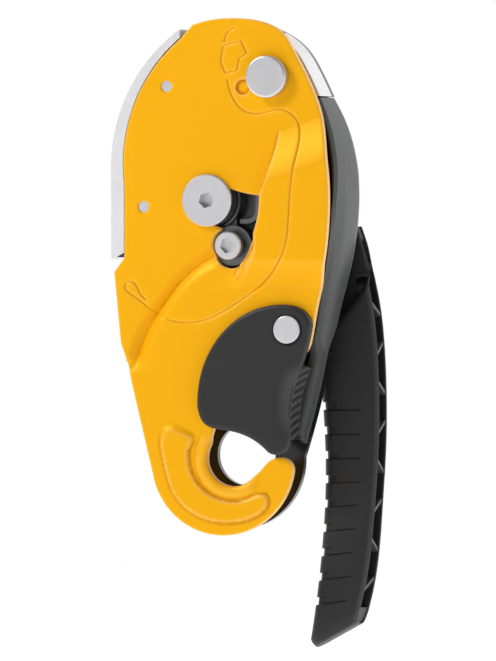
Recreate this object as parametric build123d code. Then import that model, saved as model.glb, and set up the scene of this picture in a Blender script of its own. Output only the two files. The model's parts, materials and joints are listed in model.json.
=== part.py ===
from build123d import *
import os
from math import cos, radians, sin, sqrt

# A handled self-braking rope device, in millimetres.
# It is drawn with the main axle at X 0, Z 0 and the front face of the moving plate at Y 0.
# X runs to the right, Y runs from the front to the back, Z runs up.
# Every piece is moved at the end, so that the origin is the centre of the attachment hole.

os.makedirs("parts", exist_ok=True)

# ---- Driving dimensions -------------------------------------------------------------------
plate_thickness = 2.5
facet_rise = 4.8            # how far the bridge over the axle bolt stands out of the plate
slope_start = (26.8, 24.6)  # the bridge rises from this point, along a line tilted up to the right
slope_angle = 18.5
slope_length = 15.1
pocket_depth = 1.4          # how far the riveted strip field is pressed in
fixed_front = 16.6          # front face of the fixed plate
fixed_back = 19.4
rope_gap_front = 3.0        # nearest that any fixed piece comes to the moving plate
gap = 0.3                   # clearance between faces of different bodies
running_gap = 0.03          # radial clearance of a journal

main_axle = (0, 0)
plate_pivot = (22.9, 44.1)
cam_pin = (8.15, -16.2)
gate_pivot = (31.1, -46.3)
attachment_hole = (9.0, -91.1)
hook_seat = (9.7, -92.3)
hook_seat_radius = 10.0
hook_back = (5.5, -93.0)
hook_back_radius = 27.0
attachment_radius = 11.0
strip_rivets = ((-15.7, 40.9), (-24.4, -2.2))

axle_radius = 4.5
axle_head_radius = 9.35
axle_head_thickness = 1.7
axle_collar_radius = 6.8
slot_half_width = 7.15
pivot_head_radius = 7.6
pivot_head_thickness = 3.3
pivot_radius = 4.0
cam_pin_radius = 3.0
key_size = 5.0              # across the flats of the sockets in both bolts
cam_pin_head_radius = 5.0
gate_rivet_radius = 3.0
gate_cover_front = -3.4
thumb_wall_back = 6.8       # the gate's ribbed thumb wall reaches this far between the plates
thumb_ribs = 9
guard_thumb_front = 8.4     # the guard is cut back to here beside the gate's thumb wall

cover_screws = ((-11, 15.5), (-11, -15.5), (30, -38), (30, 27))
screw_head_radius = 2.8
screw_head_depth = 1.4
stop_pin_place = (-6, -27.5)
stop_pin_radius = 2.0

handle_front = 24.5
handle_back = 37.0
arm_front = 30.6
arm_inner_radius = 56.0     # inside this radius the handle keeps behind the guard
hub_radius = 13.0
grip_ribs = 9               # slanted ribs across the open side of the grip
grip_rib_pitch = 14.07
grip_rib_thickness = 1.4
grip_rib_depth = 8.5
grip_grooves = 9
grip_groove_pitch = 8.77


# ---- Helpers ------------------------------------------------------------------------------
def slab(face, front, back):
    """Thicken an outline drawn in X and Z, from depth front to depth back."""
    return extrude(Plane.XZ.offset(-back) * face, amount=back - front)


def disc(centre, radius, front, back):
    return slab(Pos(*centre) * Circle(radius), front, back)


def ring(centre, radius, bore, front, back):
    return disc(centre, radius, front, back) - disc(centre, bore, front, back)


def around(centre, radius, angle):
    """Point at an angle, in degrees from +X towards +Z, on a circle."""
    return (centre[0] + radius * cos(radians(angle)), centre[1] + radius * sin(radians(angle)))


def closed(*parts):
    """Face inside a chain of lines; a straight line closes it."""
    edges = [edge for part in parts for edge in part.edges()]
    first = parts[0] @ 0
    last = parts[-1] @ 1
    if (first - last).length > 0.001:
        edges.append(Line(last, first))
    return make_face(edges)


def sector(centre, inner, outer, start, end):
    """Part of a flat ring between two radii and two angles."""
    middle = (start + end) / 2
    outer_arc = ThreePointArc(*[around(centre, outer, a) for a in (start, middle, end)])
    inner_arc = ThreePointArc(*[around(centre, inner, a) for a in (end, middle, start)])
    return closed(outer_arc, Line(outer_arc @ 1, inner_arc @ 0), inner_arc)


def side_profile(points, left, right):
    """Solid whose section in Y and Z is the given outline, from X left to X right."""
    face = Plane.YZ.offset(left) * make_face(Polyline(*points, close=True))
    return extrude(face, amount=right - left)


def hexagon_socket(centre, across_flats, front, depth):
    key = RegularPolygon(across_flats / sqrt(3), 6)
    return slab(Pos(*centre) * Rot(0, 0, 14) * key, front, front + depth)


def coil(centre, radius, wire_radius, front, pitch, turns):
    """Round wire wound about an axis that runs in depth."""
    path = Helix(pitch, pitch * turns, radius)
    wire = sweep(Plane(path @ 0, z_dir=path % 0) * Circle(wire_radius), path)
    return Pos(centre[0], front, centre[1]) * Rot(-90, 0, 0) * wire


def save(shape, node):
    """Write one piece, moved so that the attachment hole is at the origin."""
    middle = (fixed_front + fixed_back) / 2
    shape = Pos(-attachment_hole[0], -middle, -attachment_hole[1]) * shape
    export_step(shape, f"parts/{node}.step")


# ---- Outlines -----------------------------------------------------------------------------
def moving_edge():
    """Right-hand edge of the moving plate, from the top down."""
    return Spline((-6, 62.9), (0.5, 64.6), (8, 65.2), (15, 64.9), (21.6, 63.5), (27.6, 60.3), (32.4, 53.4),
                  (36.7, 45.4), (40.4, 37.3), (44.5, 23.2), (46.8, 7), (46.5, -11.7), (44.8, -23.7),
                  (41.9, -34.5), (39.7, -45.7), (38.8, -50.2))


def fixed_edge():
    """Right-hand edge of the fixed plate and the guards, from the top down."""
    return Spline((-6, 61.8), (8, 63.8), (17, 62.8), (23.4, 60.4), (31.9, 54), (36.8, 46.4), (41.3, 37.3),
                  (45.2, 27.1), (48, 0), (44, -34.7), (36.4, -72.8), (30.8, -92))


def beside(curve, distance, count=13):
    """Curve that runs at a distance to the right of another."""
    points = []
    for k in range(count):
        place = curve @ (k / (count - 1))
        along = curve % (k / (count - 1))
        points.append(place + Vector(along.Y, -along.X) * distance)
    return Spline(*points)


def edge_band(thickness):
    """Strip along the right-hand edge."""
    outer = fixed_edge()
    inner = beside(outer, thickness)
    return closed(outer, Line(outer @ 1, inner @ 1), inner, Line(inner @ 0, outer @ 0))


def inside_edge(distance):
    """Everything to the left of the strip along the right-hand edge."""
    inner = beside(fixed_edge(), distance)
    far = Polyline(inner @ 1, (-60, -92), (-60, 62), inner @ 0)
    return closed(inner, far)


def moving_outline():
    edge = moving_edge()
    seat = ThreePointArc(*[around(hook_seat, hook_seat_radius, a) for a in (150, 235, 315)])
    lip = Spline(seat @ 1, (20.2, -96.3), (23.4, -93.1), (27.2, -91.9))
    tip = ThreePointArc(lip @ 1, (31, -93.4), around(hook_back, hook_back_radius, -8.5))
    back = ThreePointArc(tip @ 1, around(hook_back, hook_back_radius, 270),
                         around(hook_back, hook_back_radius, 197))
    left = Polyline(back @ 1, (-31.3, -56.2), (-33.2, -51), (-35.7, -25.6), (-31.8, -20.5), (-31.8, 6))
    strip_side = ThreePointArc((-31.8, 6), (-25.9, 39.2), (-10.6, 57.8))
    corner = Polyline((-10.6, 57.8), (-8.8, 59.9), (-6, 62.9))
    throat = Spline((38.8, -50.2), (36.4, -55), (31, -58), (22, -57.2), (12, -67), (2.8, -80), seat @ 0)
    return closed(edge, throat, seat, lip, tip, back, left, strip_side, corner)


def fixed_outline():
    edge = fixed_edge()
    bottom = ThreePointArc(edge @ 1, around(hook_back, 25, 270), around(hook_back, 25, 190))
    left = Polyline(bottom @ 1, (-34, -24), (-34, 6))
    shoulder = ThreePointArc(left @ 1, (-27.4, 39.5), (-9.5, 59.5))
    return closed(edge, bottom, left, shoulder)


def pocket_outline(grow):
    """Field under the friction strip, pressed in from the front."""
    wall = Spline((-7 + grow, 70), (-2 + grow, 50), (-10.4 + grow, 25), (-14.2 + grow, -3))
    foot = Spline(wall @ 1, (-17.5 + grow, -14), (-25.5, -22.6 - grow), (-33, -24 - grow))
    return closed(wall, foot, Polyline((-33, -24 - grow), (-45, -24 - grow), (-45, 70), (-7 + grow, 70)))


# ---- Moving side plate and what rides on it -------------------------------------------------
def make_moving_side_plate():
    outline = moving_outline()
    pocket = pocket_outline(0)
    plate = slab(outline, 0, plate_thickness) - slab(pocket, -1, plate_thickness)
    floor = slab(outline & pocket_outline(1.5), pocket_depth, pocket_depth + plate_thickness)
    plate += floor

    facet_field = make_face(Polyline((20.2, 1.9), (26.8, 24.6), (60, 36), (60, -33), (14, -33),
                                     (14, -24), close=True))
    outer = side_profile(((-facet_rise, 36), (-facet_rise, -26), (0, -33), (0.8, -33), (0.8, 36)), 0, 60)
    inner_front = plate_thickness - facet_rise
    inner = side_profile(((inner_front, 36), (inner_front, -25), (0.8, -30), (4, -30), (4, 36)), 0, 80)
    slope = ((0, 0), (-facet_rise, -slope_length), (-facet_rise, -90), (0.8, -90), (0.8, 0))
    under_slope = ((plate_thickness, 0.8), (inner_front, 0.8 - slope_length), (inner_front, -90), (4, -90), (4, 0.8))
    tilt = Pos(slope_start[0], 0, slope_start[1]) * Rot(0, -slope_angle, 0)
    facet = slab(outline & facet_field, -6, 0.8) & outer & (tilt * side_profile(slope, -40, 60))
    inside = make_face(Polyline((22.7, 1.4), (28.8, 22.6), (80, 40), (80, -31), (17.5, -31),
                                (17.5, -24), close=True))
    plate = plate + facet - (slab(inside, -6, 4) & inner & (tilt * side_profile(under_slope, -40, 80)))

    # The axle bolt leaves through the slot, and its head passes under the bridge.
    plate -= slab(sector(plate_pivot, 49.7 - slot_half_width, 49.7 + slot_half_width, -117.4, 0), -0.1, 4)
    plate -= disc(main_axle, slot_half_width, -0.1, 4)
    plate -= slab(sector(plate_pivot, 39.6, 59.6, -95, 0), inner_front, 0)
    plate -= slab(sector(plate_pivot, 42.3, 69.4, -104, 0), -0.1, 4)
    plate -= slab(sector(plate_pivot, 42.3, 69.4, -97, 0), inner_front, 0)
    # The cam bolt's head sweeps this band as the plate opens or closes over it.
    plate -= slab(sector(plate_pivot, 56.6, 68.6, -105.5, -96), inner_front, 0)
    plate -= disc(cam_pin, 6.4, -facet_rise - 1, 4)
    plate -= disc((8.6, -17.9), 6.5, -facet_rise - 1, 4)
    plate -= slab(Pos(11, -13) * Rectangle(13, 12), -0.1, 4)
    plate -= disc(plate_pivot, pivot_radius + running_gap, -1, 4)
    plate -= disc(gate_pivot, gate_rivet_radius, -1, 4)
    for place in strip_rivets:
        plate -= disc(place, 2.0, 0, 6)
    plate -= disc((13.2, 40.5), 2.8, -1, 0.8)
    return plate


def make_friction_strip():
    front = pocket_depth + plate_thickness
    outer_line = [Line((-36.9, -21), (-36.9, 8)), ThreePointArc((-36.9, 8), (-28.6, 42.4), (-10.9, 61.3))]
    inner_line = [ThreePointArc((-10.9, 58.3), (-26.2, 39.4), (-32.1, 6)), Line((-32.1, 6), (-32.1, -18.5))]
    band = closed(*outer_line, Line((-10.9, 61.3), (-10.9, 58.3)), *inner_line, Line((-32.1, -18.5), (-36.9, -21)))
    strip = slab(band, 0.6, fixed_front - gap - 0.2)
    inner_web = [ThreePointArc((-9, 59.7), (-27.6, 41.6), (-35.5, 8)), Line((-35.5, 8), (-35.5, -30))]
    keep_out = closed(*inner_web, Polyline((-35.5, -30), (0, -30), (0, 59.7), (-9, 59.7)))
    strip -= slab(keep_out, 1.9, fixed_front)
    tab = closed(ThreePointArc((-11, 55.8), (-27.4, 39.2), (-35.6, 6)), Line((-35.6, 6), (-35.6, -15)),
                 Polyline((-35.6, -15), (-20, -11), (-18.4, 10), (-11.6, 34), (-11, 55.8)))
    strip += slab(tab, front, front + 1.1)
    link = closed(ThreePointArc((-12.5, 57), (-28.2, 40.4), (-36, 8)), Line((-36, 8), (-36, -15)),
                  Line((-36, -15), (-32.1, -15)), Line((-32.1, -15), (-32.1, 6)),
                  ThreePointArc((-32.1, 6), (-26.2, 39.4), (-12.5, 57)))
    strip += slab(link, 0.6, front + 1.1)
    for place in strip_rivets:
        strip -= disc(place, 2.0, 0, 9)
    return strip


def make_strip_rivets():
    rivets = []
    for place in strip_rivets:
        head = disc(place, 3.7, pocket_depth - 0.9, pocket_depth)
        head = fillet(head.edges().group_by(Axis.Y)[0], 0.4)
        tail = disc(place, 3.2, 5.0, 5.9)
        rivets.append(head + disc(place, 2.0, pocket_depth, 5.0) + tail)
    return rivets[0] + rivets[1]


def make_gate_rivet():
    head = disc(gate_pivot, 5.0, -4.2, -3.4)
    head = fillet(head.edges().group_by(Axis.Y)[0], 0.35)
    shank = disc(gate_pivot, gate_rivet_radius, -3.4, plate_thickness)
    return head + shank + disc(gate_pivot, 4.4, plate_thickness, plate_thickness + 1.1)


# ---- Gate ---------------------------------------------------------------------------------
def gate_side():
    """Right-hand edge of the gate, where the thumb pushes it."""
    return Spline((40, -44.5), (38.6, -51.5), (36.4, -58.6), (33.6, -65.8), (32.2, -72), (31.5, -80.5),
                  (31.8, -85))


def gate_outline():
    crown = Spline((-3.2, -73.5), (2.4, -52.5), (12.8, -41.9), (22.5, -38), (30, -37.4), (36.5, -39.2),
                   (40, -44.5))
    side = gate_side()
    belly = Spline(side @ 1, (30.4, -89.3), (27.4, -91), (23.6, -90.2))
    foot = Spline((23.6, -90.2), (17, -85.2), (8, -82.4), (0, -80.4), (-3.2, -73.5))
    return closed(crown, side, belly, foot)


def make_gate():
    gate = slab(gate_outline(), gate_cover_front, -gap)
    gate = fillet(gate.faces().sort_by(Axis.Y)[0].edges(), 0.9)
    block = sector(gate_pivot, 17, 43.5, -97, -78)
    gate += slab(block & gate_outline(), -gap, plate_thickness - 0.2)

    side = gate_side()
    inner = beside(side, 2.2)
    wall = closed(side, Line(side @ 1, inner @ 1), inner, Line(inner @ 0, side @ 0))
    wall &= Pos(30, -75) * Rectangle(20, 28)
    gate += slab(wall, -gap - 0.6, thumb_wall_back)
    for k in range(thumb_ribs):
        place = side @ (0.39 + 0.072 * k)
        notch = Pos(place.X, place.Y) * Rot(0, 0, 24) * Rectangle(1.3, 1.1)
        gate -= slab(notch, gate_cover_front + 1.4, thumb_wall_back)

    scoop = closed(Spline((31.8, -58.8), (27.1, -66.2), (25.6, -75), (26.8, -82.2), (29.4, -86.2)),
                   Line((29.4, -86.2), (31, -78)),
                   Spline((31, -78), (31.6, -71.8), (35.4, -58.8)), Line((35.4, -58.8), (31.8, -58.8)))
    gate -= slab(scoop, -4, gate_cover_front + 0.9)
    gate -= disc(gate_pivot, gate_rivet_radius + running_gap + 1.2, -5, 0)
    gate -= ring(gate_pivot, 7.2, 4.2, -2.0, 0)
    gate -= slab(Pos(*gate_pivot) * Rot(0, 0, 190) * Pos(8, 0) * Rectangle(5, 1.4), -2.0, 0)
    return gate


def make_gate_bush():
    return ring(gate_pivot, gate_rivet_radius + running_gap + 1.2, gate_rivet_radius + running_gap, -3.38, -gap)


def make_gate_spring():
    wire = 0.4
    coils = coil(gate_pivot, 5.7, wire, -1.45, 0.95, 1.0)
    return coils


# ---- Fixed side -----------------------------------------------------------------------------
guard_depth = ((rope_gap_front + gap, 37), (20.4, 37), (23.6, 30), (26.4, 21), (29.0, 10), (29.8, 0),
               (29.8, -8), (28.4, -20), (25.6, -30), (23.2, -37), (21.2, -46), (fixed_front, -54),
               (fixed_front, -88), (guard_thumb_front, -84), (guard_thumb_front, -56),
               (rope_gap_front + gap, -50))
guard_wall = 2.4
guard_flange = 4.8          # the guard's front edge turns in this far beside the gate's thumb wall


def make_side_guard():
    wall = slab(edge_band(guard_wall), 0, 40) & side_profile(guard_depth, 20, 60)
    back = guard_thumb_front + 2
    flange = ((guard_thumb_front, -55), (back, -55), (back, -84), (guard_thumb_front, -82))
    return wall + (slab(edge_band(guard_flange), 0, 40) & side_profile(flange, 20, 60))


def make_upper_guard():
    front = rope_gap_front + gap
    wall = slab(edge_band(1.6), front, fixed_front)
    wall &= side_profile(((front, 37.2), (fixed_front, 37.2), (fixed_front, 61), (front, 61)), 24, 60)
    lip = slab(sector(plate_pivot, 13, 24, -20, 75) & fixed_outline(), fixed_front - 1.4, fixed_front)
    lip &= side_profile(((0, 37.2), (30, 37.2), (30, 64), (0, 64)), 20, 60)
    return wall + lip


def make_fixed_side_plate():
    plate = slab(fixed_outline(), fixed_front, fixed_back)
    plate -= make_side_guard()
    plate -= disc(main_axle, axle_radius + running_gap, 0, 40)
    plate -= disc(plate_pivot, 3.0, 0, 40)
    plate -= disc(attachment_hole, attachment_radius, 0, 40)
    for place in cover_screws:
        plate -= disc(place, 1.5, 0, 40)
        plate -= disc(place, screw_head_radius, fixed_front, fixed_front + screw_head_depth)
    plate -= disc(stop_pin_place, stop_pin_radius, 0, 40)
    return plate


def cover_outline():
    left = ThreePointArc((-2, 24), (-19, 0), (-2, -24))
    loop = Polyline((-2, -24), (30, -46), (60, -46), (60, 35), (22, 35), (-2, 24))
    return closed(left, loop)


def make_rear_cover():
    inset = inside_edge(guard_wall)
    inner_inset = inside_edge(guard_wall + 2.0)
    outer = ((fixed_back, 36), (20.2, 36), (26.2, 20), (28.8, 8), (29.4, 0), (29.4, -8), (28, -20),
             (22.8, -37), (20.2, -47), (fixed_back, -47))
    shell = slab(cover_outline() & inset, fixed_back, 30) & side_profile(outer, -30, 60)
    cavity = slab(offset(cover_outline(), -2.0) & inner_inset, fixed_back - 1, 30)
    shell -= cavity & side_profile(((18, 22), (24.2, 20), (26.8, 8), (27.4, 0), (27.4, -8), (26, -20),
                                    (20.8, -36), (18, -36)), -30, 60)
    shell += ring(main_axle, 8.5, 6.0, fixed_back, 27.5)
    for place in cover_screws:
        shell += disc(place, 3.4, fixed_back, 21) & (slab(cover_outline() & inset, fixed_back, 30)
                                                    & side_profile(outer, -30, 60))
        shell -= disc(place, 1.25, fixed_back - 1, 40)
    shell -= disc(main_axle, 6.0, 0, 40)
    return shell


def make_cover_screws():
    screws = []
    for place in cover_screws:
        head = disc(place, screw_head_radius, fixed_front, fixed_front + screw_head_depth)
        head -= hexagon_socket(place, 2.0, fixed_front, 0.9)
        screws.append(head + disc(place, 1.24, fixed_front + screw_head_depth, 20.6))
    return screws[0] + screws[1] + screws[2] + screws[3]


# ---- Axle ---------------------------------------------------------------------------------
def make_main_axle_bolt():
    head = disc(main_axle, axle_head_radius, -0.2 - axle_head_thickness, -0.2)
    head = chamfer(head.edges().group_by(Axis.Y)[0], 0.45)
    bolt = head + disc(main_axle, axle_radius, -0.2, 42.4)
    bolt -= hexagon_socket(main_axle, key_size, -0.2 - axle_head_thickness, 4.0)
    return bolt


def make_axle_collar():
    collar = ring(main_axle, axle_collar_radius, axle_radius, -0.2, rope_gap_front)
    return collar + ring(main_axle, 9.4, axle_radius, rope_gap_front, 4.4)


def make_axle_washer():
    return ring(main_axle, 9.0, axle_radius, 39.0, 40.0)


def make_axle_nut():
    nut = slab(Pos(*main_axle) * RegularPolygon(7.5, 6), 40.0, 43.6)
    nut &= Pos(main_axle[0], 41.8, main_axle[1]) * Rot(90, 0, 0) * Cylinder(7.3, 6)
    return nut - disc(main_axle, axle_radius, 39, 42.4)


def make_plate_pivot_bolt():
    head = disc(plate_pivot, pivot_head_radius, -0.2 - pivot_head_thickness, -0.2)
    head = fillet(head.edges().group_by(Axis.Y)[0], 0.8)
    shank = disc(plate_pivot, pivot_radius, -0.2, rope_gap_front)
    return head + shank + disc(plate_pivot, 3.0, rope_gap_front, fixed_back + 1.2)


def make_plate_pivot_spacer():
    return ring(plate_pivot, 7.0, 3.0, rope_gap_front, fixed_front)


def make_plate_pivot_ring():
    return ring(plate_pivot, 5.6, 3.0, fixed_back, fixed_back + 1.2) - ring(plate_pivot, 9, 5.5, 0, 40)


# ---- Cam ------------------------------------------------------------------------------------
cam_front = 4.8
cam_back = 15.9


def cam_outline(grow):
    """Rope drum with a heel that pinches the rope towards the friction strip."""
    nose = Spline(around(main_axle, 15 + grow, 60), around(main_axle, 18 + grow, 10),
                  around(main_axle, 22 + grow, -40), around(main_axle, 24.5 + grow, -90),
                  around(main_axle, 24.5 + grow, -140), around(main_axle, 19 + grow, -175))
    back = Spline(nose @ 1, around(main_axle, 13 + grow, 150), around(main_axle, 12.5 + grow, 105), nose @ 0)
    return closed(nose, back)


def make_cam():
    body = slab(cam_outline(0), 8.8, cam_back)
    groove = slab(cam_outline(3), 9.0, cam_back) - slab(cam_outline(-3.2), 9.0, cam_back)
    body -= groove & slab(cam_outline(4), 10.4, cam_back - 1.4)
    front_cheek = slab(cam_outline(0), 7.4, 8.8)
    body += front_cheek
    body -= slab((Pos(14.5, -2.5) * Rectangle(12, 21)) & cam_outline(-1.5), 5, 13.4)
    body -= disc(main_axle, 10.2, 0, 11.8)
    body += disc(cam_pin, 7.0, 5.2, 8.8)
    body += ring(main_axle, 10.6, 9.6, 5.2, 11.8)
    rib = RectangleRounded(17.6, 17.6, 5) - RectangleRounded(14.4, 14.4, 3.4)
    body += slab((Pos(8.9, 0.5) * rib) & (Pos(14.2, -2) * Rectangle(8, 13)) & cam_outline(0), 5.9, 14)
    body -= disc(main_axle, axle_radius + running_gap + 1.5, 0, 40)
    body -= disc(cam_pin, cam_pin_radius, 0, 40)
    return body


def make_cam_bush():
    return ring(main_axle, axle_radius + running_gap + 1.5, axle_radius + running_gap, 11.8, cam_back)


def make_cam_pin_bolt():
    head = disc(cam_pin, cam_pin_head_radius, -2.0, 1.2)
    head = chamfer(head.edges().group_by(Axis.Y)[0], 0.5)
    bolt = head + disc(cam_pin, cam_pin_radius, 1.2, cam_back)
    return bolt - hexagon_socket(cam_pin, key_size, -2.0, 2.2)


def make_cam_pin_collar():
    return ring(cam_pin, 7.2, cam_pin_radius, 3.5, 5.2)


def make_cam_spring():
    return coil(main_axle, 8.3, 0.9, 5.6, 2.0, 2.5)


def make_cam_stop_pin():
    return disc(stop_pin_place, stop_pin_radius, fixed_front - 0.4, fixed_back)


# ---- Handle ---------------------------------------------------------------------------------
grip_edge = ((45.6, -8.6), (48.6, -17), (51.6, -27), (53.8, -37), (55.6, -53), (56.2, -66), (56.2, -86),
             (54.6, -111), (50.6, -140), (47.6, -151))


def grip_outline():
    left = Spline((33, -58), (34.2, -75), (35.1, -100), (33.8, -124), (31.4, -145), (29.3, -158))
    tip = Polyline(left @ 1, (30.8, -160.4), (33.6, -160.2), (42.3, -155.8), (47.6, -151))
    return closed(Line(grip_edge[0], left @ 0), left, tip, Spline(*reversed(grip_edge)))


def make_handle_grip():
    full = grip_outline()
    front_field = full - Pos(*main_axle) * Circle(arm_inner_radius)
    grip = slab(front_field, handle_front, handle_back) + slab(full, arm_front, handle_back)
    inner = beside(Spline(*grip_edge), grip_rib_depth)
    open_side = slab(closed(inner, Polyline(inner @ 1, (80, -151), (80, -8.6), inner @ 0)), 20, 40)
    for k in range(grip_ribs):
        top = -24.9 - grip_rib_pitch * k
        lean = 1.9 if k % 2 else -1.9
        low = top - grip_rib_pitch
        pocket = ((handle_front + 1.6, top + lean - grip_rib_thickness),
                  (handle_back - 1.4, top - lean - grip_rib_thickness),
                  (handle_back - 1.4, low + lean), (handle_front + 1.6, low - lean))
        grip -= side_profile(pocket, 30, 70) & open_side
    for k in range(grip_grooves):
        height = -75.3 - grip_groove_pitch * k
        groove = Pos(36, height) * Rot(0, 0, 3) * Rectangle(28, 0.9)
        grip -= slab(groove, handle_front - 1, handle_front + 0.6)
    grip -= make_handle_lever()
    return grip


def make_handle_lever():
    arm = make_face(Polyline((-6, -11.6), (34.5, -74), (46, -74), (49.5, -50), (46.5, -20), (41.5, -8), (6, 11.6),
                             close=True))
    lever = slab(arm, 32.4, 35.2) + disc(main_axle, hub_radius, arm_front, 38.2)
    return lever - disc(main_axle, axle_radius + running_gap + 1.8, 0, 60)


def make_handle_bush():
    return ring(main_axle, axle_radius + running_gap + 1.8, axle_radius + running_gap, arm_front, 38.6)


def make_handle_spring():
    return coil(main_axle, 9.9, 0.9, 20.6, 2.0, 2.5)


pieces = {
    "moving_side_plate": make_moving_side_plate,
    "friction_strip": make_friction_strip,
    "strip_rivets": make_strip_rivets,
    "gate_pivot_rivet": make_gate_rivet,
    "safety_gate": make_gate,
    "gate_bush": make_gate_bush,
    "gate_spring": make_gate_spring,
    "side_guard": make_side_guard,
    "upper_guard": make_upper_guard,
    "fixed_side_plate": make_fixed_side_plate,
    "rear_cover": make_rear_cover,
    "cover_screws": make_cover_screws,
    "main_axle_bolt": make_main_axle_bolt,
    "axle_collar": make_axle_collar,
    "axle_washer": make_axle_washer,
    "axle_nut": make_axle_nut,
    "plate_pivot_bolt": make_plate_pivot_bolt,
    "plate_pivot_spacer": make_plate_pivot_spacer,
    "plate_pivot_ring": make_plate_pivot_ring,
    "cam": make_cam,
    "cam_bush": make_cam_bush,
    "cam_pin_bolt": make_cam_pin_bolt,
    "cam_pin_collar": make_cam_pin_collar,
    "cam_spring": make_cam_spring,
    "cam_stop_pin": make_cam_stop_pin,
    "handle_lever": make_handle_lever,
    "handle_grip": make_handle_grip,
    "handle_bush": make_handle_bush,
    "handle_spring": make_handle_spring,
}
for node, make in pieces.items():
    save(make(), node)
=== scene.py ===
"""Looks of the handled rope device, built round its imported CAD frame. Lengths are in metres."""
import bpy
import json
import math
import numpy as np
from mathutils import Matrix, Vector
from mathutils.geometry import delaunay_2d_cdt
from mathutils.kdtree import KDTree


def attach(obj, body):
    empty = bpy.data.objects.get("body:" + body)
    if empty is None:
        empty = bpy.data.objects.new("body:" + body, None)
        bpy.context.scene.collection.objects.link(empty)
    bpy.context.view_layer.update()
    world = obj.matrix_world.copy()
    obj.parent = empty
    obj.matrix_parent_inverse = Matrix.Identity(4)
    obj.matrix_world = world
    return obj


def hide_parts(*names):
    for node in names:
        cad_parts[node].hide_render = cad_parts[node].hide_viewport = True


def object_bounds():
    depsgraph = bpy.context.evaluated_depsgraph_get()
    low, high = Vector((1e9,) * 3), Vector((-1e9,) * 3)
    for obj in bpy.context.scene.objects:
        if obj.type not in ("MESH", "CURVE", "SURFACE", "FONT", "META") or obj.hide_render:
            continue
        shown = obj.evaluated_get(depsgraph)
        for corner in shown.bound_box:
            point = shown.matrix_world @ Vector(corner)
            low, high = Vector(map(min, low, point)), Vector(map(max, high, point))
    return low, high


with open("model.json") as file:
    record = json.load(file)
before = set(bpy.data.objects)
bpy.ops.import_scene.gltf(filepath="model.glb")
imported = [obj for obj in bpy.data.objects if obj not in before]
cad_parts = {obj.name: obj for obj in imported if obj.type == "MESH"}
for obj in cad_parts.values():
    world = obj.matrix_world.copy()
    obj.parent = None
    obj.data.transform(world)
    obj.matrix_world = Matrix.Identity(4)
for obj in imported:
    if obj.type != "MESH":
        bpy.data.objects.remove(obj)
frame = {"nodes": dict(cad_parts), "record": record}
cad_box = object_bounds()
nodes = frame["nodes"]

MM = 0.001
# The pieces made here are drawn in millimetres from the main axle, on the front face of the
# side plate: X to the right, Z up, Y from the front to the back.
axle = np.array((-9.0, -18.0, 91.1))


# ---- Materials ----------------------------------------------------------------------------
def shader(name, colour, metallic, roughness, coat=0.0, specular=0.5):
    """New material with a Principled shader; uniform values sit on its own sockets."""
    mat = bpy.data.materials.new(name)
    mat.use_nodes = True
    tree = mat.node_tree
    bsdf = tree.nodes["Principled BSDF"]
    bsdf.inputs["Base Color"].default_value = (*colour, 1)
    bsdf.inputs["Metallic"].default_value = metallic
    bsdf.inputs["Roughness"].default_value = roughness
    bsdf.inputs["Coat Weight"].default_value = coat
    bsdf.inputs["Specular IOR Level"].default_value = specular
    return mat, tree, bsdf


def noise(tree, scale, detail=4.0, stretch=(1, 1, 1)):
    """Noise in object space; stretch draws it out along an axis."""
    coords = tree.nodes.new("ShaderNodeTexCoord")
    mapping = tree.nodes.new("ShaderNodeMapping")
    mapping.inputs["Scale"].default_value = stretch
    texture = tree.nodes.new("ShaderNodeTexNoise")
    texture.inputs["Scale"].default_value = scale
    texture.inputs["Detail"].default_value = detail
    tree.links.new(coords.outputs["Object"], mapping.inputs["Vector"])
    tree.links.new(mapping.outputs["Vector"], texture.inputs["Vector"])
    return texture.outputs["Fac"]


def ramp(tree, factor, low, high):
    """Map 0..1 to a range of numbers."""
    node = tree.nodes.new("ShaderNodeMapRange")
    node.inputs["To Min"].default_value = low
    node.inputs["To Max"].default_value = high
    tree.links.new(factor, node.inputs["Value"])
    return node.outputs["Result"]


def blend_colours(tree, factor, first, second):
    node = tree.nodes.new("ShaderNodeMix")
    node.data_type = "RGBA"
    node.inputs["A"].default_value = (*first, 1)
    node.inputs["B"].default_value = (*second, 1)
    tree.links.new(factor, node.inputs["Factor"])
    return node.outputs["Result"]


def over_colour(tree, mark, under, colour):
    """Lay a colour over another where the mesh carries this mark (a mesh without it has none)."""
    node = tree.nodes.new("ShaderNodeAttribute")
    node.attribute_name = mark
    result = blend_colours(tree, node.outputs["Fac"], colour, colour)
    tree.links.new(under, result.node.inputs["A"])
    return result


def bump(tree, bsdf, height, distance, strength):
    node = tree.nodes.new("ShaderNodeBump")
    node.inputs["Strength"].default_value = strength
    node.inputs["Distance"].default_value = distance
    tree.links.new(height, node.inputs["Height"])
    tree.links.new(node.outputs["Normal"], bsdf.inputs["Normal"])


def anodised_yellow():
    mat, tree, bsdf = shader("side_plate_paint", (0.98, 0.47, 0.001), 0.15, 0.4, specular=0.15)
    tint = blend_colours(tree, noise(tree, 35), (0.89, 0.42, 0.0005), (0.93, 0.445, 0.001))
    # Pale cream over the marked rims and ridges: painted highlight.
    with_highlight = over_colour(tree, "edge", tint, (0.98, 0.66, 0.30))
    # Dark orange over the marked hollows and grooves: painted shade.
    tree.links.new(over_colour(tree, "painted_shade", with_highlight, (0.50, 0.15, 0.002)), bsdf.inputs["Base Color"])
    tree.links.new(ramp(tree, noise(tree, 400), 0.38, 0.50), bsdf.inputs["Roughness"])
    bump(tree, bsdf, noise(tree, 2500, 2), 0.00002, 0.5)
    return mat


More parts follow.
